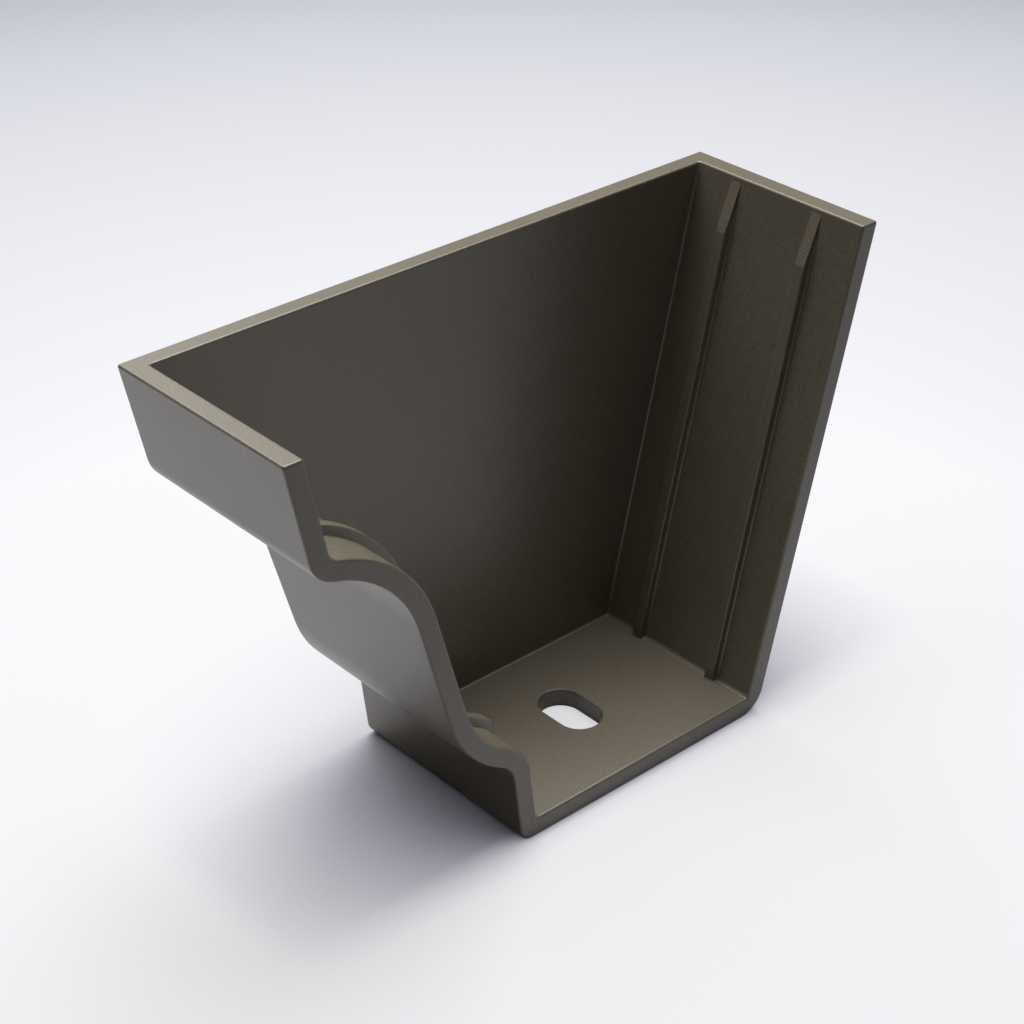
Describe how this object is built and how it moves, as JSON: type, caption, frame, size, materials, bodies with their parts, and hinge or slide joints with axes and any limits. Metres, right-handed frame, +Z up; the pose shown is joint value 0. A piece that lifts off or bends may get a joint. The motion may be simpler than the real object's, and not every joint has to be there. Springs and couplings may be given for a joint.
{
  "type": "gutter stop end",
  "caption": "One-piece cast stop end with an ogee front, a leaning back wall, sealing ribs inside and a slotted sole; the end of a gutter run seats in it and is closed off.",
  "frame": {"origin": "on the floor under the sole, in the middle of the part's footprint box", "axes": "+X from the closed end wall towards the open side, +Y from the ogee front towards the back wall, +Z up from the sole to the rim"},
  "size_m": [0.0466, 0.1378, 0.1],
  "materials": {
    "coated_casting": "satin"
  },
  "bodies": {
    "root": {"stop_end": "coated_casting"}
  },
  "joints": []
}
